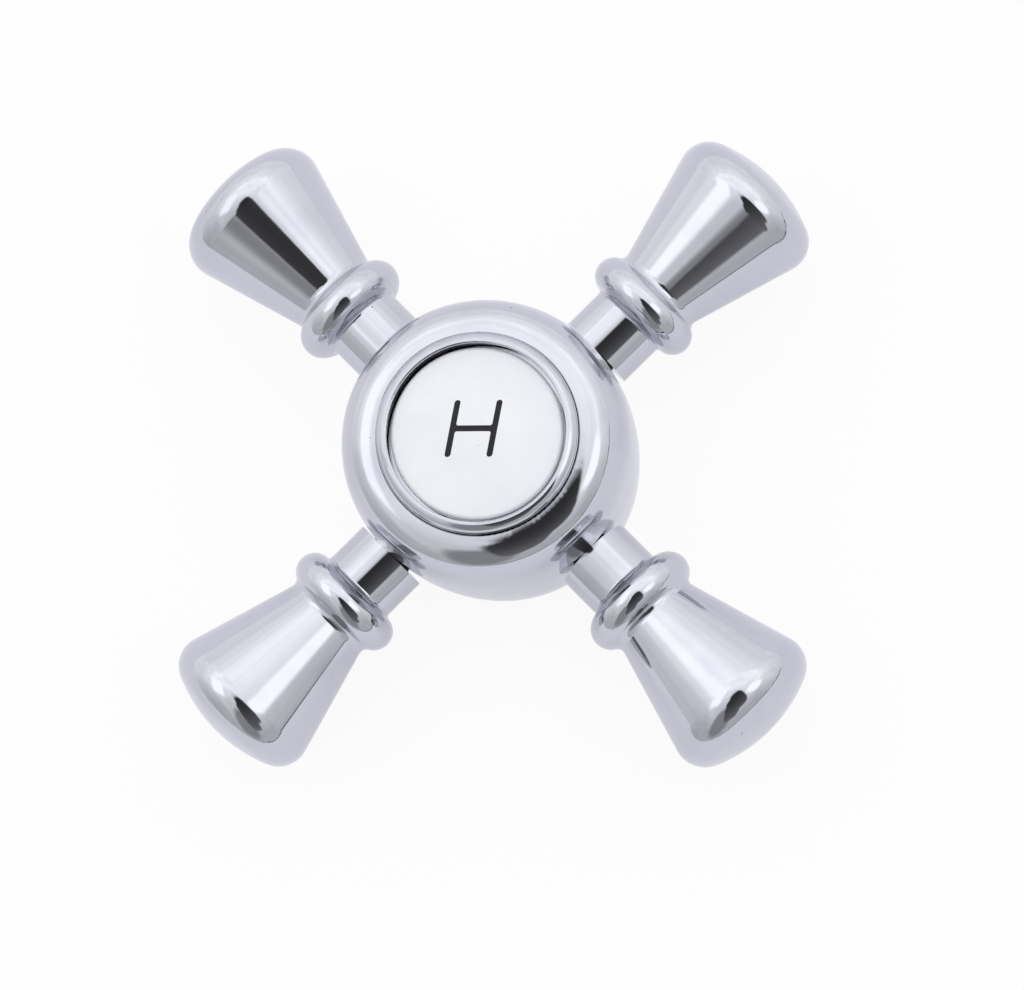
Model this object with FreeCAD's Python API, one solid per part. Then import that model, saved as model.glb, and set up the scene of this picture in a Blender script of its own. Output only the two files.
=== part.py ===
import FreeCAD, Part
import math
import os

from FreeCAD import Vector

# Cross handle for a tap, in millimetres. +Z is the spindle's axis, and the origin is the centre of the
# hub's bottom rim. The four arms lie at 45 degrees to X and Y.

# Hub: a turned barrel with a rolled shoulder.
hub_r = 15.35
base_r = 14.6
widest_z = 12.2
crown_z = 22.5
shoulder_core_r = 9.8
shoulder_power = 3.2
base_edge_r = 0.35

# Hollows of the hub, from the bottom up.
skirt_r = 12.3
skirt_depth = 3.5
bush_r = 5.5
bush_top_z = 11.5
bush_flange_r = 6.5
bush_flange_h = 0.8
screw_hole_r = 2.25
washer_seat_z = 13.0
screw_well_r = 5.4
cap_floor_z = 15.6
cap_thread_r = 9.0
cap_seat_z = 19.6
bezel_seat_r = 10.65
bezel_edge_r = 0.15

# Arms: neck, bead collar, cone and domed end, measured outwards from the spindle's axis.
arm_names = ("upper_right", "upper_left", "lower_left", "lower_right")
arm_z = 9.5
arm_end = 41.75
neck_r = 4.3
bead_s = 22.4
bead_centre_r = 4.45
bead_r = 2.05
neck_cove_r = 0.4
cone_cove_r = 0.9
knob_corner_s = 37.45
knob_corner_centre_r = 5.22
knob_corner_r = 3.3
cone_slope = 0.29
knob_dome_r = 16.8

# Studs that hold the arms.
stud_r = 2.5
stud_inner_s = 8.4
stud_outer_s = 23.2
stud_pitch = 0.8
stud_hole_play = 0.2

# Index cap, its seal, pad and disc.
running_gap = 0.05
bezel_top_z = 23.8
bezel_bore_r = 9.4
bezel_lip_r = 0.2
bezel_crown_r = 9.77
cup_floor_z = 20.6
cap_ceiling_z = 19.6
cap_bore_r = 7.2
cap_end_z = 15.9
seal_groove_r = 7.85
seal_groove_z = 18.3
seal_wire_r = 0.55
pad_r = 8.6
pad_h = 0.3
disc_r = 9.1
disc_edge_z = 22.55
disc_round_r = 0.45
disc_crown_h = 0.3
disc_chamfer = 0.35

# Spline bush.
spline_teeth = 20
spline_tip_r = 3.7
spline_root_r = 4.05
lead_in_r = 4.1
lead_in_h = 2.0

# Handle screw and its washers.
screw_r = 2.0
screw_pitch = 0.7
screw_length = 8.0
screw_undercut_r = 1.7
screw_undercut_h = 2.2
head_r = 4.0
head_h = 2.6
head_side_h = 1.3
recess_width = 1.0
recess_length = 4.4
recess_depth = 1.5
flat_washer_r = 4.5
flat_washer_h = 0.8
spring_washer_r = 3.8
spring_washer_h = 0.9
washer_hole_r = 2.1
washer_split = 0.5
washer_split_lean = 25.0


def turned(outline):
    """A solid turned about Z. The outline is a closed run of (radius, height) corners; a pair of points
    is an arc through the first to the second, and a list of points is one smooth curve through them."""
    edges = []
    here = outline[0]
    for step in list(outline[1:]) + [outline[0]]:
        if isinstance(step, list):
            curve = Part.BSplineCurve()
            curve.interpolate([Vector(r, 0, z) for r, z in [here] + step])
            edges.append(curve.toShape())
            here = step[-1]
        elif isinstance(step[0], tuple):
            middle, end = step
            arc = Part.Arc(*[Vector(r, 0, z) for r, z in (here, middle, end)])
            edges.append(arc.toShape())
            here = end
        elif math.dist(here, step) > 1e-6:
            edges.append(Part.makeLine(Vector(here[0], 0, here[1]), Vector(step[0], 0, step[1])))
            here = step
    face = Part.Face(Part.Wire(edges))
    return face.revolve(Vector(0, 0, 0), Vector(0, 0, 1), 360)


def rod(radius, low, high):
    return Part.makeCylinder(radius, high - low, Vector(0, 0, low))


def on_circle(centre, radius, degrees):
    angle = math.radians(degrees)
    return (centre[0] + radius * math.cos(angle), centre[1] + radius * math.sin(angle))


def along_arm(shape, number):
    """Lays a shape that was turned about Z along an arm's axis, with Z pointing outwards."""
    laid = shape.copy()
    laid.rotate(Vector(0, 0, 0), Vector(0, 1, 0), 90)
    laid.translate(Vector(0, 0, arm_z))
    laid.rotate(Vector(0, 0, 0), Vector(0, 0, 1), 45 + 90 * number)
    return laid


def threads(radius, pitch, low, high):
    """The outline of a threaded stretch, from its low end to its high end, one V for each turn."""
    depth = 0.55 * pitch
    turns = int((high - low) / pitch)
    outline = []
    for turn in range(turns):
        start = low + turn * pitch
        outline += [(radius, start + 0.1 * pitch), (radius - depth, start + 0.5 * pitch)]
        outline += [(radius, start + 0.9 * pitch)]
    return outline + [(radius, high)]


def shoulder_point(degrees):
    """A point of the rolled shoulder, a rounded square's quarter from the widest line to the crown."""
    c = math.cos(math.radians(degrees))
    s = math.sin(math.radians(degrees))
    size = (c ** shoulder_power + s ** shoulder_power) ** (-1 / shoulder_power)
    reach = hub_r - shoulder_core_r
    return (shoulder_core_r + reach * size * c, widest_z + (crown_z - widest_z) * size * s)


def hub_shoulder():
    """Points from just above the widest line to the bezel's seat."""
    last = 89.0
    while shoulder_point(last)[0] < bezel_seat_r + bezel_edge_r:
        last -= 0.05
    count = 14
    return [shoulder_point(last * step / count) for step in range(1, count + 1)]


def hub_wall_point(z):
    """The barrel's side, an arc that stands upright at the widest line."""
    inset = hub_r - base_r
    arc_r = (widest_z ** 2 + inset ** 2) / (2 * inset)
    return (hub_r - arc_r + math.sqrt(arc_r ** 2 - (widest_z - z) ** 2), z)


def hub_body():
    foot = hub_wall_point(base_edge_r)
    shoulder = hub_shoulder()
    rim_z = shoulder[-1][1]
    edge_centre = (shoulder[-1][0], rim_z - bezel_edge_r)
    outline = [
        (skirt_r, 0),
        (foot[0] - base_edge_r, 0),
        (on_circle((foot[0] - base_edge_r, base_edge_r), base_edge_r, -45), foot),
        (hub_wall_point(widest_z / 2), (hub_r, widest_z)),
        shoulder,
        (on_circle(edge_centre, bezel_edge_r, 135), (bezel_seat_r, edge_centre[1])),
        (bezel_seat_r, cap_seat_z),
        (cap_thread_r, cap_seat_z),
        (cap_thread_r, cap_floor_z),
        (screw_well_r, cap_floor_z),
        (screw_well_r, washer_seat_z),
        (screw_hole_r, washer_seat_z),
        (screw_hole_r, bush_top_z),
        (bush_r, bush_top_z),
        (bush_r, skirt_depth + bush_flange_h),
        (bush_flange_r, skirt_depth + bush_flange_h),
        (bush_flange_r, skirt_depth),
        (skirt_r, skirt_depth),
    ]
    hub = turned(outline)
    hole = rod(stud_r, stud_inner_s - stud_hole_play, hub_r + 1)
    for number in range(4):
        hub = hub.cut(along_arm(hole, number))
    return hub


def cone_r(s):
    """The cone's radius: a straight slope that meets the knob's corner as a tangent."""
    lean = math.atan(cone_slope)
    s_tangent = knob_corner_s - knob_corner_r * math.sin(lean)
    r_tangent = knob_corner_centre_r + knob_corner_r * math.cos(lean)
    return r_tangent + cone_slope * (s - s_tangent)


def neck_cove():
    """The small hollow between neck and bead: its centre, start and end."""
    centre_r = neck_r + neck_cove_r
    reach = math.sqrt((bead_r + neck_cove_r) ** 2 - (centre_r - bead_centre_r) ** 2)
    share = bead_r / (bead_r + neck_cove_r)
    end = (bead_centre_r + (centre_r - bead_centre_r) * share, bead_s - reach * share)
    return (centre_r, bead_s - reach), (neck_r, bead_s - reach), end


def cone_cove():
    """The hollow between bead and cone: its centre, start on the bead and end on the cone."""
    lift = cone_cove_r * math.sqrt(1 + cone_slope ** 2)
    low, high = bead_s, bead_s + 4 * bead_r
    for _ in range(60):
        s = (low + high) / 2
        if math.dist((cone_r(s) + lift, s), (bead_centre_r, bead_s)) < bead_r + cone_cove_r:
            low = s
        else:
            high = s
    centre = (cone_r(s) + lift, s)
    share = bead_r / (bead_r + cone_cove_r)
    start = (bead_centre_r + (centre[0] - bead_centre_r) * share, bead_s + (s - bead_s) * share)
    lean = math.atan(cone_slope)
    end = (centre[0] - cone_cove_r * math.cos(lean), s + cone_cove_r * math.sin(lean))
    return centre, start, end


def arc_between(centre, radius, start, end):
    """The arc from start to end round the centre, as its middle point and its end."""
    middle = ((start[0] + end[0]) / 2 - centre[0], (start[1] + end[1]) / 2 - centre[1])
    size = radius / math.hypot(*middle)
    return ((centre[0] + middle[0] * size, centre[1] + middle[1] * size), end)


def arm():
    """One arm, turned about Z with its outer end up."""
    butt_s = hub_r
    cove_a, cove_a_start, bead_start = neck_cove()
    cove_b, bead_end, cone_start = cone_cove()
    lean = math.atan(cone_slope)
    corner = (knob_corner_centre_r, knob_corner_s)
    cone_end = on_circle(corner, knob_corner_r, -math.degrees(lean))
    dome_centre_s = arm_end - knob_dome_r
    dome_turn = math.asin(knob_corner_centre_r / (knob_dome_r - knob_corner_r))
    dome_start = (knob_dome_r * math.sin(dome_turn), dome_centre_s + knob_dome_r * math.cos(dome_turn))
    half_turn = dome_turn / 2
    dome_middle = (knob_dome_r * math.sin(half_turn), dome_centre_s + knob_dome_r * math.cos(half_turn))
    outline = [
        (0, butt_s),
        (neck_r, butt_s),
        cove_a_start,
        arc_between(cove_a, neck_cove_r, cove_a_start, bead_start),
        arc_between((bead_centre_r, bead_s), bead_r, bead_start, bead_end),
        arc_between(cove_b, cone_cove_r, bead_end, cone_start),
        cone_end,
        arc_between(corner, knob_corner_r, cone_end, dome_start),
        (dome_middle, (0, arm_end)),
    ]
    return turned(outline).cut(rod(stud_r, butt_s - 1, stud_outer_s + stud_hole_play))


def arm_stud():
    """A stud, turned about Z with its outer end up."""
    root_r = stud_r - 0.5
    outline = [(0, stud_inner_s), (root_r, stud_inner_s), (stud_r, stud_inner_s + 0.5)]
    outline += threads(stud_r, stud_pitch, stud_inner_s + 0.5, stud_outer_s - 0.5)
    outline += [(root_r, stud_outer_s), (0, stud_outer_s)]
    return turned(outline)


def index_cap():
    """The bezel, the cup that the disc lies in, and the threaded spigot, in one turned piece."""
    outer_r = bezel_seat_r - running_gap
    thread_r = cap_thread_r - running_gap
    crown_start_z = 22.45
    slope = math.radians(50)
    crown_middle = (
        bezel_crown_r + (outer_r - bezel_crown_r) * math.cos(slope),
        crown_start_z + (bezel_top_z - crown_start_z) * math.sin(slope),
    )
    lip_centre = (bezel_bore_r + bezel_lip_r, bezel_top_z - bezel_lip_r)
    outline = [
        (cap_bore_r, cap_end_z),
        (thread_r - 0.3, cap_end_z),
        (thread_r, cap_end_z + 0.3),
        (thread_r, seal_groove_z),
        (seal_groove_r, seal_groove_z),
        (seal_groove_r, cap_seat_z + running_gap),
        (outer_r, cap_seat_z + running_gap),
        (outer_r, crown_start_z),
        (crown_middle, (bezel_crown_r, bezel_top_z)),
        (lip_centre[0], bezel_top_z),
        (on_circle(lip_centre, bezel_lip_r, 135), (bezel_bore_r, lip_centre[1])),
        (bezel_bore_r, cup_floor_z),
        (0, cup_floor_z),
        (0, cap_ceiling_z),
        (cap_bore_r, cap_ceiling_z),
    ]
    return turned(outline)


def cap_o_ring():
    groove_top_z = cap_seat_z + running_gap
    middle_z = (seal_groove_z + groove_top_z) / 2
    ring_r = cap_thread_r - 0.02 - seal_wire_r
    return Part.makeTorus(ring_r, seal_wire_r, Vector(0, 0, middle_z))


def disc_pad():
    return rod(pad_r, cup_floor_z, cup_floor_z + pad_h)


def index_disc():
    """The ceramic disc: a light crown, a rounded edge and a chamfered back."""
    back_z = cup_floor_z + pad_h
    round_centre = (disc_r - disc_round_r, disc_edge_z)
    crown_edge = (round_centre[0], disc_edge_z + disc_round_r)
    crown_r = (crown_edge[0] ** 2 + disc_crown_h ** 2) / (2 * disc_crown_h)
    half_r = crown_edge[0] / 2
    top_z = crown_edge[1] + disc_crown_h
    crown_middle = (half_r, top_z - crown_r + math.sqrt(crown_r ** 2 - half_r ** 2))
    outline = [
        (0, back_z),
        (disc_r - disc_chamfer, back_z),
        (disc_r, back_z + disc_chamfer),
        (disc_r, disc_edge_z),
        (on_circle(round_centre, disc_round_r, 45), crown_edge),
        (crown_middle, (0, top_z)),
    ]
    return turned(outline)


def spline_bush():
    """A flanged bush with a plain lead-in and a toothed bore."""
    outer = rod(bush_r, skirt_depth, bush_top_z).fuse(
        rod(bush_flange_r, skirt_depth, skirt_depth + bush_flange_h))
    bush = outer.removeSplitter().cut(rod(spline_tip_r, skirt_depth, bush_top_z))
    bush = bush.cut(rod(lead_in_r, skirt_depth, skirt_depth + lead_in_h))
    half_angle = 90.0 / spline_teeth
    near = spline_tip_r - 0.3
    for tooth in range(spline_teeth):
        middle = 360.0 * tooth / spline_teeth
        corners = [(near, middle - 1.3 * half_angle), (spline_root_r, middle - 0.5 * half_angle)]
        corners += [(spline_root_r, middle + 0.5 * half_angle), (near, middle + 1.3 * half_angle)]
        points = [Vector(*on_circle((0, 0), radius, angle), skirt_depth) for radius, angle in corners]
        gap = Part.Face(Part.makePolygon(points + points[:1]))
        bush = bush.cut(gap.extrude(Vector(0, 0, bush_top_z - skirt_depth)))
    return bush


def handle_screw():
    """A pan head screw with a cross recess, and a waist below its head for the captive washers."""
    head_z = washer_seat_z + flat_washer_h + spring_washer_h
    tip_z = head_z - screw_length
    waist_z = head_z - screw_undercut_h
    outline = [(0, tip_z), (screw_r - 0.4, tip_z), (screw_r, tip_z + 0.4)]
    outline += threads(screw_r, screw_pitch, tip_z + 0.4, waist_z)
    outline += [
        (screw_undercut_r, waist_z),
        (screw_undercut_r, head_z),
        (head_r, head_z),
        (head_r, head_z + head_side_h),
        ((0.72 * head_r, head_z + 0.86 * head_h), (0, head_z + head_h)),
    ]
    screw = turned(outline)
    for length, width in ((recess_length, recess_width), (recess_width, recess_length)):
        corner = Vector(-length / 2, -width / 2, head_z + head_h - recess_depth)
        screw = screw.cut(Part.makeBox(length, width, recess_depth + 1, corner))
    return screw


def flat_washer():
    top_z = washer_seat_z + flat_washer_h
    return rod(flat_washer_r, washer_seat_z, top_z).cut(rod(washer_hole_r, washer_seat_z, top_z))


def spring_washer():
    """A split ring, drawn flat as it is under a tight screw."""
    low_z = washer_seat_z + flat_washer_h
    high_z = low_z + spring_washer_h
    ring = rod(spring_washer_r, low_z, high_z).cut(rod(washer_hole_r, low_z, high_z))
    split = Part.makeBox(2 * spring_washer_r, washer_split, 4 * spring_washer_h,
                         Vector(0, -washer_split / 2, -2 * spring_washer_h))
    split.rotate(Vector(0, 0, 0), Vector(1, 0, 0), washer_split_lean)
    split.translate(Vector(0, 0, (low_z + high_z) / 2))
    return ring.cut(split)


os.makedirs("parts", exist_ok=True)

pieces = {
    "hub_body": hub_body(),
    "index_cap": index_cap(),
    "cap_o_ring": cap_o_ring(),
    "disc_pad": disc_pad(),
    "index_disc": index_disc(),
    "spline_bush": spline_bush(),
    "handle_screw": handle_screw(),
    "flat_washer": flat_washer(),
    "spring_washer": spring_washer(),
}
for number, place in enumerate(arm_names):
    pieces["arm_" + place] = along_arm(arm(), number)
    pieces["arm_stud_" + place] = along_arm(arm_stud(), number)

for name, shape in pieces.items():
    shape.exportStep("parts/" + name + ".step")
    print(name, "valid" if shape.isValid() else "NOT VALID", len(shape.Solids), round(shape.Volume, 1))
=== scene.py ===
import math

import bmesh
import bpy
from mathutils import Matrix, Vector


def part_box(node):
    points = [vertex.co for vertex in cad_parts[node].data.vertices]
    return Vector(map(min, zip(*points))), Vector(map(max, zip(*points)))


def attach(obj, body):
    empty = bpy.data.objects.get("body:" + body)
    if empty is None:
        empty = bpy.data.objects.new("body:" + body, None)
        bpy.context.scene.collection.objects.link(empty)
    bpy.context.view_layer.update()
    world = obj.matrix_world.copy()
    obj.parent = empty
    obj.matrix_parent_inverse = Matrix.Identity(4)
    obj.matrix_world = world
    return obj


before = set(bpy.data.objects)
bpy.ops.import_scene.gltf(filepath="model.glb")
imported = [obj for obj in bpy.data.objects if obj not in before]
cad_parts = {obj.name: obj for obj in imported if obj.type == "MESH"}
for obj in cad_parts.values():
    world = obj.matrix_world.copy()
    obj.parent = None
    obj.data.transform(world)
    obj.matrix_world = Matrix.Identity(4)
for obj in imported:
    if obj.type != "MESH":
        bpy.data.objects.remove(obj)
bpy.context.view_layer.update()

# The camera. The handle is seen almost square from above, from half a metre away and a little from its
# lower right, through a long lens.
camera = bpy.data.objects.new("camera", bpy.data.cameras.new("camera"))
camera.data.sensor_width = 36.0
camera.data.lens = 167.8
camera.data.clip_start = 0.01
picture_right = Vector((0.99143, 0.01443, -0.12985))
picture_up = Vector((0.00541, 0.98850, 0.15110))
camera_back = Vector((0.13054, -0.15051, 0.97995))
camera.matrix_world = Matrix((picture_right, picture_up, camera_back)).transposed().to_4x4()
camera.location = (0.0683, -0.0809, 0.5072)
bpy.context.scene.collection.objects.link(camera)
bpy.context.scene.camera = camera
bpy.context.scene.view_settings.view_transform = "Standard"

# The hub: a barrel turned from brass bar, polished on a wheel and chrome plated. The plating covers the
# outside and stops at the mouths of the bores, where the tool marks of the lathe are left in bare brass.
mm = 0.001


def linear(code):
    """A colour written as sRGB hex, as the linear numbers that a shader takes."""
    parts = [int(code[i:i + 2], 16) / 255 for i in (1, 3, 5)]
    return [p / 12.92 if p <= 0.04045 else ((p + 0.055) / 1.055) ** 2.4 for p in parts] + [1.0]


def add(kind, inputs=None, output=0, **settings):
    """Adds a node to the tree in hand: its settings, and its inputs as values or as the sockets that feed
    them. Gives back one of its outputs."""
    node = tree.nodes.new("ShaderNode" + kind)
    for name, value in settings.items():
        setattr(node, name, value)
    for name, value in (inputs or {}).items():
        if isinstance(value, bpy.types.NodeSocket):
            tree.links.new(value, node.inputs[name])
        else:
            node.inputs[name].default_value = value
    return node.outputs[output] if len(node.outputs) else None


def begin_material(name):
    """A new material, and its tree, which is empty."""
    material = bpy.data.materials.new(name)
    material.use_nodes = True
    material.node_tree.nodes.clear()
    return material, material.node_tree


def lathe_rings(place, feed):
    """The fine rings that a lathe tool leaves, one for each feed, on faces and in bores alike."""
    flat = add("VectorMath", {0: place, 1: (1.0, 1.0, 0.0)}, operation="MULTIPLY")
    radius = add("VectorMath", {0: flat}, output="Value", operation="LENGTH")
    height = add("SeparateXYZ", {0: place}, output="Z")
    along = add("Math", {0: radius, 1: height}, operation="ADD")
    turns = add("Math", {0: along, 1: 2 * math.pi / feed}, operation="MULTIPLY")
    return add("Math", {0: turns}, operation="SINE"), radius, height


def dress(node, material):
    """Gives a CAD node its material."""
    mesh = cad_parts[node].data
    mesh.materials.clear()
    mesh.materials.append(material)


# Polished chrome plate: a mirror with a cool cast. The eye sees the wheel's broad waves bend the
# reflections, faint smears where hands have been, a few pits where the brass was porous, and a few nicks.
# All facets of a knob's dome meet at its tip, so there the shading follows the dome's own sphere.
chrome, tree = begin_material("polished_chrome_plate_on_brass")
place = add("TexCoord", output="Object")
rings, radius, height = lathe_rings(place, 0.12 * mm)
arm_z = 9.5 * mm
dome_middle_out = 24.95 * mm
dome_tip_from = 16 * mm
dome_tip_r = 0.75 * mm
dome_tip_fades_r = 1.0 * mm
arm_axis = add("VectorMath", {0: add("VectorMath", {0: place}, operation="SIGN"),
                              1: (math.sqrt(0.5), math.sqrt(0.5), 0)}, operation="MULTIPLY")
from_middle = add("VectorMath", {0: arm_axis, 1: (-dome_middle_out,) * 3, 2: place},
                  operation="MULTIPLY_ADD")
from_middle = add("VectorMath", {0: from_middle, 1: (0, 0, arm_z)}, operation="SUBTRACT")
off_axis = add("VectorMath", {0: from_middle, 1: arm_axis}, operation="CROSS_PRODUCT")
off_axis = add("VectorMath", {0: off_axis}, output="Value", operation="LENGTH")
outermost = add("VectorMath", {0: from_middle, 1: arm_axis}, output="Value", operation="DOT_PRODUCT")
outermost = add("Math", {0: outermost, 1: dome_tip_from}, operation="GREATER_THAN")
dome_tip = add("MapRange", {0: off_axis, 1: dome_tip_fades_r, 2: dome_tip_r}, interpolation_type="SMOOTHSTEP")
dome_tip = add("Math", {0: dome_tip, 1: outermost}, operation="MULTIPLY")
rounded = add("VectorTransform", {"Vector": from_middle}, vector_type="NORMAL", convert_from="OBJECT",
              convert_to="WORLD")
rounded = add("Mix", {0: dome_tip, 4: add("NewGeometry", output="Normal"), 5: rounded}, output=1,
              data_type="VECTOR")
rounded = add("VectorMath", {0: rounded}, operation="NORMALIZE")
wheel_waves = add("TexNoise", {"Vector": place, "Scale": 1 / (3.2 * mm), "Detail": 2.0})
surface = add("Bump", {"Height": wheel_waves, "Distance": 0.005 * mm, "Normal": rounded})
peel = add("TexNoise", {"Vector": place, "Scale": 1 / (0.7 * mm), "Detail": 2.0})
surface = add("Bump", {"Height": peel, "Distance": 0.0003 * mm, "Normal": surface})
smears = add("TexNoise", {"Vector": place, "Scale": 1 / (7 * mm), "Detail": 4.0})
smears = add("MapRange", {0: smears, 1: 0.45, 2: 0.75}, interpolation_type="SMOOTHSTEP")
pit_spacing = 1.6 * mm
pit_share = 0.045
pit_depth = 0.03 * mm
pit_middle = add("TexVoronoi", {"Vector": place, "Scale": 1 / pit_spacing}, output="Distance")
pit_chance = add("SeparateColor", {0: pit_middle.node.outputs["Color"]})
pit_chosen = add("Math", {0: pit_chance, 1: 1 - pit_share}, operation="GREATER_THAN")
pit_shape = add("MapRange", {0: pit_middle, 1: 0.075, 2: 0.035}, interpolation_type="SMOOTHSTEP")
pits = add("Math", {0: pit_chosen, 1: pit_shape}, operation="MULTIPLY")
surface = add("Bump", {"Height": pits, "Distance": -pit_depth, "Normal": surface})
nick_spacing = 4.5 * mm
nick_share = 0.035
nick_depth = 0.03 * mm
drawn_out = add("Mapping", {"Vector": place, "Rotation": (0.5, 0.9, 0.6), "Scale": (4.0, 1.0, 1.0)})
nick_middle = add("TexVoronoi", {"Vector": drawn_out, "Scale": 1 / nick_spacing}, output="Distance")
nick_chance = add("SeparateColor", {0: nick_middle.node.outputs["Color"]}, output="Blue")
nick_chosen = add("Math", {0: nick_chance, 1: 1 - nick_share}, operation="GREATER_THAN")
nick_shape = add("MapRange", {0: nick_middle, 1: 0.13, 2: 0.04}, interpolation_type="SMOOTHSTEP")
nicks = add("Math", {0: nick_chosen, 1: nick_shape}, operation="MULTIPLY")
surface = add("Bump", {"Height": nicks, "Distance": -nick_depth, "Normal": surface})
colour = add("Mix", {0: smears, 6: linear("#C9CAD0"), 7: linear("#C2C3CA")}, output=2, data_type="RGBA")
colour = add("Mix", {0: pits, 6: colour, 7: linear("#6E6A6C")}, output=2, data_type="RGBA")
roughness = add("Math", {0: smears, 1: 0.05, 2: 0.035}, operation="MULTIPLY_ADD")
roughness = add("Math", {0: pits, 1: 0.35, 2: roughness}, operation="MULTIPLY_ADD")
plate = add("BsdfPrincipled", {"Base Color": colour, "Metallic": 1.0, "Roughness": roughness,
                               "Normal": surface})

# Inside the bores the brass is bare: dull yellow, browned in patches, with the rings of the boring tool.
tarnish = add("TexNoise", {"Vector": place, "Scale": 1 / (2.5 * mm), "Detail": 5.0})
tarnish = add("MapRange", {0: tarnish, 1: 0.35, 2: 0.7}, interpolation_type="SMOOTHSTEP")
browned = add("Mix", {0: tarnish, 6: linear("#CFAC6B"), 7: linear("#B5915A")}, output=2, data_type="RGBA")
ringed = add("Bump", {"Height": rings, "Distance": 0.004 * mm})
bare = add("BsdfPrincipled", {"Base Color": browned, "Metallic": 1.0, "Roughness": 0.32, "Normal": ringed})
bore_r = 12.3 * mm
bore_top_z = 19.6 * mm
within = add("MapRange", {0: radius, 1: bore_r + 0.06 * mm, 2: bore_r}, interpolation_type="SMOOTHSTEP")
below = add("MapRange", {0: height, 1: bore_top_z + 0.04 * mm, 2: bore_top_z},
            interpolation_type="SMOOTHSTEP")
inside = add("Math", {0: within, 1: below}, operation="MULTIPLY")
add("OutputMaterial", {0: add("MixShader", {0: inside, 1: plate, 2: bare})})
dress("hub_body", chrome)

# The four arms: each turned in one piece from brass bar, with a neck, a bead collar and a flared knob, then
# polished and plated as the hub is. A stud draws each against the barrel.
arm_places = ("upper_right", "upper_left", "lower_left", "lower_right")
for arm in arm_places:
    dress("arm_" + arm, chrome)

# The index cap: a plated brass cap that screws into the top of the hub. Its rounded bezel holds the disc.
dress("index_cap", chrome)

# The index disc: pressed ceramic, fired with a clear glaze over white. The eye sees a soft mirror on a
# clean white ground, with the glaze's slow ripple, a few pinholes and a little cloud in the white.
ceramic, tree = begin_material("white_glazed_ceramic")
place = add("TexCoord", output="Object")
ripple = add("Bump", {"Height": add("TexNoise", {"Vector": place, "Scale": 1 / (4 * mm)}),
                      "Distance": 0.006 * mm})
cloud = add("TexNoise", {"Vector": place, "Scale": 1 / (5 * mm), "Detail": 3.0})
cloud = add("MapRange", {0: cloud, 1: 0.3, 2: 0.7}, interpolation_type="SMOOTHSTEP")
hole_middle = add("TexVoronoi", {"Vector": place, "Scale": 1 / (1.3 * mm)}, output="Distance")
hole_chance = add("SeparateColor", {0: hole_middle.node.outputs["Color"]}, output="Green")
hole_chosen = add("Math", {0: hole_chance, 1: 0.96}, operation="GREATER_THAN")
hole_shape = add("MapRange", {0: hole_middle, 1: 0.06, 2: 0.03}, interpolation_type="SMOOTHSTEP")
pinholes = add("Math", {0: hole_chosen, 1: hole_shape}, operation="MULTIPLY")
white = add("Mix", {0: cloud, 6: linear("#F8F9FB"), 7: linear("#F3F4F7")}, output=2, data_type="RGBA")
white = add("Mix", {0: pinholes, 6: white, 7: linear("#BDB6AC")}, output=2, data_type="RGBA")
surface = add("Bump", {"Height": pinholes, "Distance": -0.02 * mm, "Normal": ripple})
glaze = add("BsdfPrincipled", {"Base Color": white, "Roughness": 0.07, "IOR": 1.52, "Normal": surface})
add("OutputMaterial", {0: glaze})
dress("index_disc", ceramic)

# The index mark: one plain capital for the hot side, printed in black ceramic ink and fired on. The ink
# lies two hundredths of a millimetre proud, and its strokes have round ends. Its sizes are in millimetres.
mark_middle = (-0.3, 0.45)
mark_half_height = 3.0
mark_half_width = 2.2
stroke_half = 0.31
mark_lean = math.tan(math.radians(10))
ink_above = 0.02
ink_below = 0.03
ink_edge_in = 0.03
steps_along = 8
steps_round = 12
steps_in_crook = 6
disc_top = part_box("index_disc")[1].z / mm
crown_edge_r = 8.65
crown_h = 0.3
crown_r = (crown_edge_r ** 2 + crown_h ** 2) / (2 * crown_h)


def glaze_height(x, y):
    """The height of the disc's crowned face, in millimetres."""
    return disc_top - crown_r + math.sqrt(crown_r ** 2 - x * x - y * y)


def round_off(corner, radius, start, end, count):
    """Points round a corner, from one angle to another."""
    angles = [math.radians(start + (end - start) * i / count) for i in range(count + 1)]
    return [(corner[0] + radius * math.cos(a), corner[1] + radius * math.sin(a)) for a in angles]


def letter_quarter():
    """The letter's upper right quarter, anticlockwise from the right stem's side to the bar's middle."""
    soft = 0.7 * stroke_half
    top = (mark_half_width, mark_half_height - stroke_half)
    inner_x = mark_half_width - stroke_half
    crook = (inner_x - soft, stroke_half + soft)
    outer_x = mark_half_width + stroke_half
    points = [(outer_x, top[1] * i / steps_along) for i in range(steps_along)]
    points += round_off(top, stroke_half, 0, 180, steps_round)
    points += [(inner_x, top[1] + (crook[1] - top[1]) * i / steps_along) for i in range(1, steps_along)]
    points += round_off(crook, soft, 0, -90, steps_in_crook)
    return points + [(crook[0] * (1 - i / steps_in_crook), stroke_half) for i in range(1, steps_in_crook)]


def letter_outline():
    """The whole outline: the quarter, and its mirror images in turn."""
    quarter = letter_quarter()
    upper = quarter + [(-x, y) for x, y in quarter[:0:-1]]
    whole = upper + [(x, -y) for x, y in upper[:0:-1]]
    return [(mark_middle[0] + x + mark_lean * y, mark_middle[1] + y) for x, y in whole]


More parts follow.
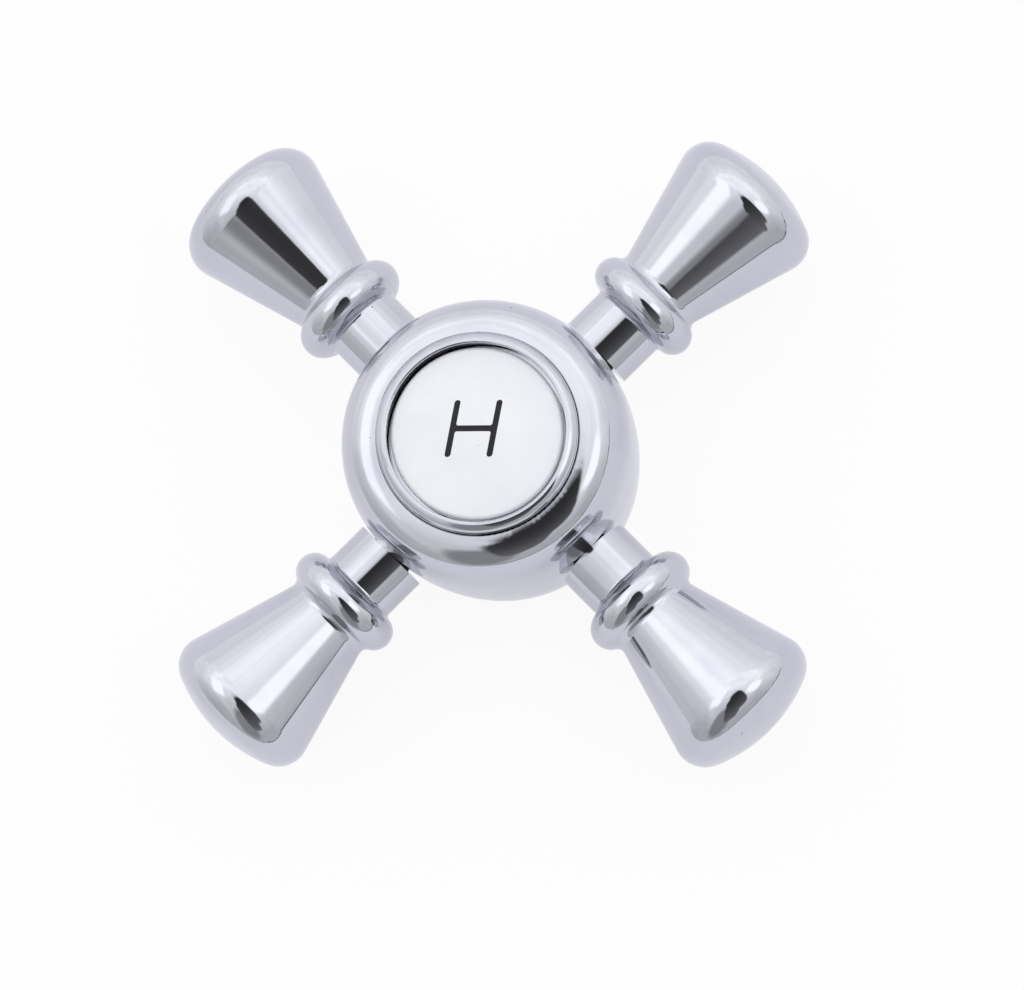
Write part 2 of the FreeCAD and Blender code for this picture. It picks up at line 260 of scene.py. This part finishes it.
shape = bmesh.new()
outline = letter_outline()
levels = []
for lift, inset in ((-ink_below, 0.0), (0.4 * ink_above, 0.0), (ink_above, ink_edge_in)):
    level = []
    for i, (x, y) in enumerate(outline):
        x0, y0 = outline[i - 1]
        x1, y1 = outline[(i + 1) % len(outline)]
        size = math.hypot(x1 - x0, y1 - y0)
        x -= inset * (y1 - y0) / size
        y += inset * (x1 - x0) / size
        level.append(shape.verts.new((x * mm, y * mm, (glaze_height(x, y) + lift) * mm)))
    levels.append(level)
for low, high in zip(levels, levels[1:]):
    for i in range(len(low)):
        shape.faces.new((low[i - 1], low[i], high[i], high[i - 1]))
shape.faces.new(levels[-1])
shape.faces.new(levels[0][::-1])
shape.normal_update()
bmesh.ops.triangulate(shape, faces=[face for face in shape.faces if len(face.verts) > 4])
letter_mesh = bpy.data.meshes.new("index_mark")
shape.to_mesh(letter_mesh)
shape.free()
letter = bpy.data.objects.new("index_mark", letter_mesh)
bpy.context.scene.collection.objects.link(letter)

# Black ceramic ink: almost matt, with the faint tooth of the pad that printed it.
ink, tree = begin_material("black_ceramic_ink")
place = add("TexCoord", output="Object")
tooth = add("TexNoise", {"Vector": place, "Scale": 1 / (0.12 * mm), "Detail": 3.0})
black = add("Mix", {0: tooth, 6: linear("#0B0B0D"), 7: linear("#1D1C20")}, output=2, data_type="RGBA")
surface = add("Bump", {"Height": tooth, "Distance": 0.003 * mm})
add("OutputMaterial", {0: add("BsdfPrincipled", {"Base Color": black, "Roughness": 0.38, "IOR": 1.4,
                                                 "Normal": surface})})
letter_mesh.materials.append(ink)
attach(letter, "index_cap")

# The disc's pad: a round of double-sided acrylic foam tape that beds the disc in its cup.
foam, tree = begin_material("acrylic_foam_tape")
place = add("TexCoord", output="Object")
cells = add("TexVoronoi", {"Vector": place, "Scale": 1 / (0.15 * mm)}, output="Distance")
cream = add("Mix", {0: cells, 6: linear("#CFCBC0"), 7: linear("#EEEBE2")}, output=2, data_type="RGBA")
surface = add("Bump", {"Height": cells, "Distance": 0.04 * mm})
add("OutputMaterial", {0: add("BsdfPrincipled", {"Base Color": cream, "Roughness": 0.85, "IOR": 1.47,
                                                 "Normal": surface})})
dress("disc_pad", foam)

# The cap's seal: a moulded nitrile O-ring, black, a little greased, with dust in its skin.
rubber, tree = begin_material("black_nitrile_rubber")
place = add("TexCoord", output="Object")
skin = add("TexNoise", {"Vector": place, "Scale": 1 / (0.25 * mm), "Detail": 4.0})
dust = add("MapRange", {0: skin, 1: 0.45, 2: 0.8}, interpolation_type="SMOOTHSTEP")
dark = add("Mix", {0: dust, 6: linear("#18181A"), 7: linear("#3A3A3C")}, output=2, data_type="RGBA")
roughness = add("Math", {0: dust, 1: 0.3, 2: 0.4}, operation="MULTIPLY_ADD")
surface = add("Bump", {"Height": skin, "Distance": 0.01 * mm})
add("OutputMaterial", {0: add("BsdfPrincipled", {"Base Color": dark, "Roughness": roughness, "IOR": 1.52,
                                                 "Normal": surface})})
dress("cap_o_ring", rubber)

# The spline bush: free-cutting brass as it comes from the machine, with fine tool rings and the brown that
# bare brass takes on.
brass, tree = begin_material("turned_bare_brass")
place = add("TexCoord", output="Object")
rings = lathe_rings(place, 0.1 * mm)[0]
tarnish = add("TexNoise", {"Vector": place, "Scale": 1 / (2 * mm), "Detail": 5.0})
tarnish = add("MapRange", {0: tarnish, 1: 0.35, 2: 0.7}, interpolation_type="SMOOTHSTEP")
browned = add("Mix", {0: tarnish, 6: linear("#D2B073"), 7: linear("#B38E56")}, output=2, data_type="RGBA")
roughness = add("Math", {0: tarnish, 1: 0.2, 2: 0.22}, operation="MULTIPLY_ADD")
surface = add("Bump", {"Height": rings, "Distance": 0.003 * mm})
add("OutputMaterial", {0: add("BsdfPrincipled", {"Base Color": browned, "Metallic": 1.0,
                                                 "Roughness": roughness, "Normal": surface})})
dress("spline_bush", brass)

# The arms' studs: the same brass, its colour darkened nearly black as painted shade for the gap where an arm
# meets the barrel, so that no bright brass shows there.
shade_painted_brass, tree = begin_material("brass_darkened_as_painted_shade")
place = add("TexCoord", output="Object")
dark_mottle = add("TexNoise", {"Vector": place, "Scale": 1 / (0.8 * mm), "Detail": 5.0})
# Painted shade: two near-black browns, mottled, so that the stud reads as the dark gap between arm and
# barrel.
brown = add("Mix", {0: dark_mottle, 6: linear("#1E1A17"), 7: linear("#4A3D2E")}, output=2, data_type="RGBA")
surface = add("Bump", {"Height": dark_mottle, "Distance": 0.01 * mm})
add("OutputMaterial", {0: add("BsdfPrincipled", {"Base Color": brown, "Metallic": 1.0, "Roughness": 0.5,
                                                 "Normal": surface})})
for arm in arm_places:
    dress("arm_stud_" + arm, shade_painted_brass)

# The handle screw and its two washers: stainless steel, the screw rolled and headed, the washers stamped
# and tumbled. A satin grey with short scratches.
steel, tree = begin_material("tumbled_stainless_steel")
place = add("TexCoord", output="Object")
stretched = add("Mapping", {"Vector": place, "Scale": (1.0, 6.0, 3.0)})
scratches = add("TexNoise", {"Vector": stretched, "Scale": 1 / (0.4 * mm), "Detail": 5.0})
grey = add("Mix", {0: scratches, 6: linear("#B4B3B0"), 7: linear("#D2D1CE")}, output=2, data_type="RGBA")
roughness = add("Math", {0: scratches, 1: 0.2, 2: 0.2}, operation="MULTIPLY_ADD")
surface = add("Bump", {"Height": scratches, "Distance": 0.006 * mm})
add("OutputMaterial", {0: add("BsdfPrincipled", {"Base Color": grey, "Metallic": 1.0,
                                                 "Roughness": roughness, "Normal": surface})})
for node in ("handle_screw", "flat_washer", "spring_washer"):
    dress(node, steel)

# The floor: a white table. It keeps a faint shadow of the handle, and runs out to white. Metal and glass
# see its white too, a little cool and with more of the shadow in it.
floor_half = 1.5
floor_corners = ((-floor_half, -floor_half, 0), (floor_half, -floor_half, 0), (floor_half, floor_half, 0),
                 (-floor_half, floor_half, 0))
floor_mesh = bpy.data.meshes.new("floor")
floor_mesh.from_pydata(floor_corners, [], [(0, 1, 2, 3)])
floor = bpy.data.objects.new("floor", floor_mesh)
floor.location.z = -0.02 * mm
bpy.context.scene.collection.objects.link(floor)
table, tree = begin_material("white_table_top")
place = add("TexCoord", output="Object")
mottle = add("TexNoise", {"Vector": place, "Scale": 1 / (30 * mm)})
paint = add("Mix", {0: mottle, 6: linear("#F8F8FA"), 7: linear("#FBFBFC")}, output=2, data_type="RGBA")
matt = add("BsdfDiffuse", {"Color": paint})
seen = add("LightPath", output="Is Camera Ray")
glow_colour = add("Mix", {0: seen, 6: (0.98, 0.975, 1.05, 1), 7: (1, 1, 1, 1)}, output=2, data_type="RGBA")
glow = add("Emission", {"Color": glow_colour, "Strength": 1.0})
mirrored = add("Math", {0: seen.node.outputs["Is Glossy Ray"], 1: seen.node.outputs["Is Transmission Ray"]},
               operation="MAXIMUM")
white_seen = 0.92
white_mirrored = 0.6
share = add("Math", {0: mirrored, 1: white_mirrored}, operation="MULTIPLY")
share = add("Math", {0: seen, 1: white_seen, 2: share}, operation="MULTIPLY_ADD")
add("OutputMaterial", {0: add("MixShader", {0: share, 1: matt, 2: glow})})
floor_mesh.materials.append(table)

# The light: a white cloth tent lit from outside. It is brightest half way up and dimmer towards its front.
# Two clear panels let in more light, and a grey flap hangs at the front beside an opening, through which a
# dim room shows. A dark hem lies along the tent's foot at the right.
world = bpy.data.worlds.new("light_tent")
world.use_nodes = True
tree = world.node_tree
tree.nodes.clear()
bpy.context.scene.world = world
ray = add("TexCoord", output="Generated")


def towards(polar, azimuth):
    """The direction at an angle from straight up and an angle round from X, in degrees."""
    p, a = math.radians(polar), math.radians(azimuth)
    return Vector((math.sin(p) * math.cos(a), math.sin(p) * math.sin(a), math.cos(p)))


def panel(level, polar, azimuth, half_out, half_round, soft, power, brightness):
    """Puts a panel in the tent: its middle and half sizes in degrees, outwards from the top and round it,
    the share of its half size that is soft edge, how square it is, and how bright."""
    middle = towards(polar, azimuth)
    outwards = towards(polar + 90, azimuth)
    ahead = add("VectorMath", {0: ray, 1: middle}, output="Value", operation="DOT_PRODUCT")
    ahead = add("Math", {0: ahead, 1: 0.001}, operation="MAXIMUM")
    far = 0.0
    for axis, half in ((outwards, half_out), (middle.cross(outwards), half_round)):
        across = add("VectorMath", {0: ray, 1: axis / math.tan(math.radians(half))}, output="Value",
                     operation="DOT_PRODUCT")
        across = add("Math", {0: across, 1: ahead}, operation="DIVIDE")
        across = add("Math", {0: across}, operation="ABSOLUTE")
        across = add("Math", {0: across, 1: power}, operation="POWER")
        far = add("Math", {0: across, 1: far}, operation="ADD")
    far = add("Math", {0: far, 1: 1 / power}, operation="POWER")
    mask = add("MapRange", {0: far, 1: 1 + soft / 2, 2: 1 - soft / 2}, interpolation_type="SMOOTHSTEP")
    return add("Mix", {0: mask, 2: level, 3: brightness})


# How bright the cloth is at each angle from straight up, in degrees.
cloth_by_angle = ((0, 0.94), (12, 1.36), (22, 1.40), (34, 1.40), (45, 1.45), (53, 1.27), (62, 1.15),
                  (74, 1.07), (92, 1.07))
brightest = 1.5
upwards = add("VectorMath", {0: ray, 1: (0, 0, 1)}, output="Value", operation="DOT_PRODUCT")
angle = add("Math", {0: upwards}, operation="ARCCOSINE")
angle = add("Math", {0: angle, 1: math.pi}, operation="DIVIDE")
level = add("ValToRGB", {0: angle})
ramp = level.node.color_ramp
ramp.interpolation = "EASE"
while len(ramp.elements) < len(cloth_by_angle):
    ramp.elements.new(0.5)
for stop, (degrees, brightness) in zip(ramp.elements, cloth_by_angle):
    stop.position = degrees / 180
    stop.color = [brightness / brightest] * 3 + [1]
level = add("Math", {0: level, 1: brightest}, operation="MULTIPLY")
forwards = add("VectorMath", {0: ray, 1: (0, -1, 0)}, output="Value", operation="DOT_PRODUCT")
front_share = 0.59
front = add("MapRange", {0: forwards, 1: -0.48, 2: 0.58, 3: 1.0, 4: front_share},
            interpolation_type="SMOOTHSTEP")
level = add("Math", {0: level, 1: front}, operation="MULTIPLY")
folds = add("TexNoise", {"Vector": ray, "Scale": 5.0, "Detail": 2.0})
folds = add("MapRange", {0: folds, 1: 0.3, 2: 0.7, 3: 0.95, 4: 1.05}, interpolation_type="SMOOTHSTEP")
level = add("Math", {0: level, 1: folds}, operation="MULTIPLY")
clear = 1.62
level = panel(level, 36, 166, 11.7, 16.6, 0.7, 6, clear)
level = panel(level, 40, -2, 13.7, 11.3, 0.6, 2.2, clear)
flap = 0.345
level = panel(level, 56, -95, 29, 18.6, 0.5, 2.4, flap)
room = add("MapRange", {0: upwards, 1: 1.0, 2: 0.45, 3: 0.04, 4: 0.20})
level = panel(level, 25, -48, 26.4, 12.3, 0.25, 3.3, room)
level = panel(level, 36, -71, 28, 14.0, 0.25, 3.6, room)
hem_middle = -0.038
hem_sways = 0.10
hem_half = 0.013
hem_level = 0.2
hem_line = add("TexNoise", {"Vector": ray, "Scale": 9.0, "Detail": 2.0})
off_hem = add("Math", {0: hem_line, 1: -hem_sways, 2: upwards}, operation="MULTIPLY_ADD")
off_hem = add("Math", {0: off_hem, 1: hem_middle}, operation="SUBTRACT")
off_hem = add("Math", {0: off_hem}, operation="ABSOLUTE")
hem = add("MapRange", {0: off_hem, 1: hem_half + 0.007, 2: hem_half}, interpolation_type="SMOOTHSTEP")
hem_side = add("VectorMath", {0: ray, 1: towards(90, -35)}, output="Value", operation="DOT_PRODUCT")
hem_side = add("MapRange", {0: hem_side, 1: 0.58, 2: 0.70}, interpolation_type="SMOOTHSTEP")
hem = add("Math", {0: hem, 1: hem_side}, operation="MULTIPLY")
level = add("Mix", {0: hem, 2: level, 3: hem_level})
light = add("VectorMath", {0: level, 1: (0.99, 0.994, 1.025)}, operation="MULTIPLY")
tent = add("Background", {"Color": light, "Strength": 1.0})
backdrop = add("Background", {"Color": (1, 1, 1, 1), "Strength": 1.0})
seen = add("LightPath", output="Is Camera Ray")
add("OutputWorld", {0: add("MixShader", {0: seen, 1: tent, 2: backdrop})})
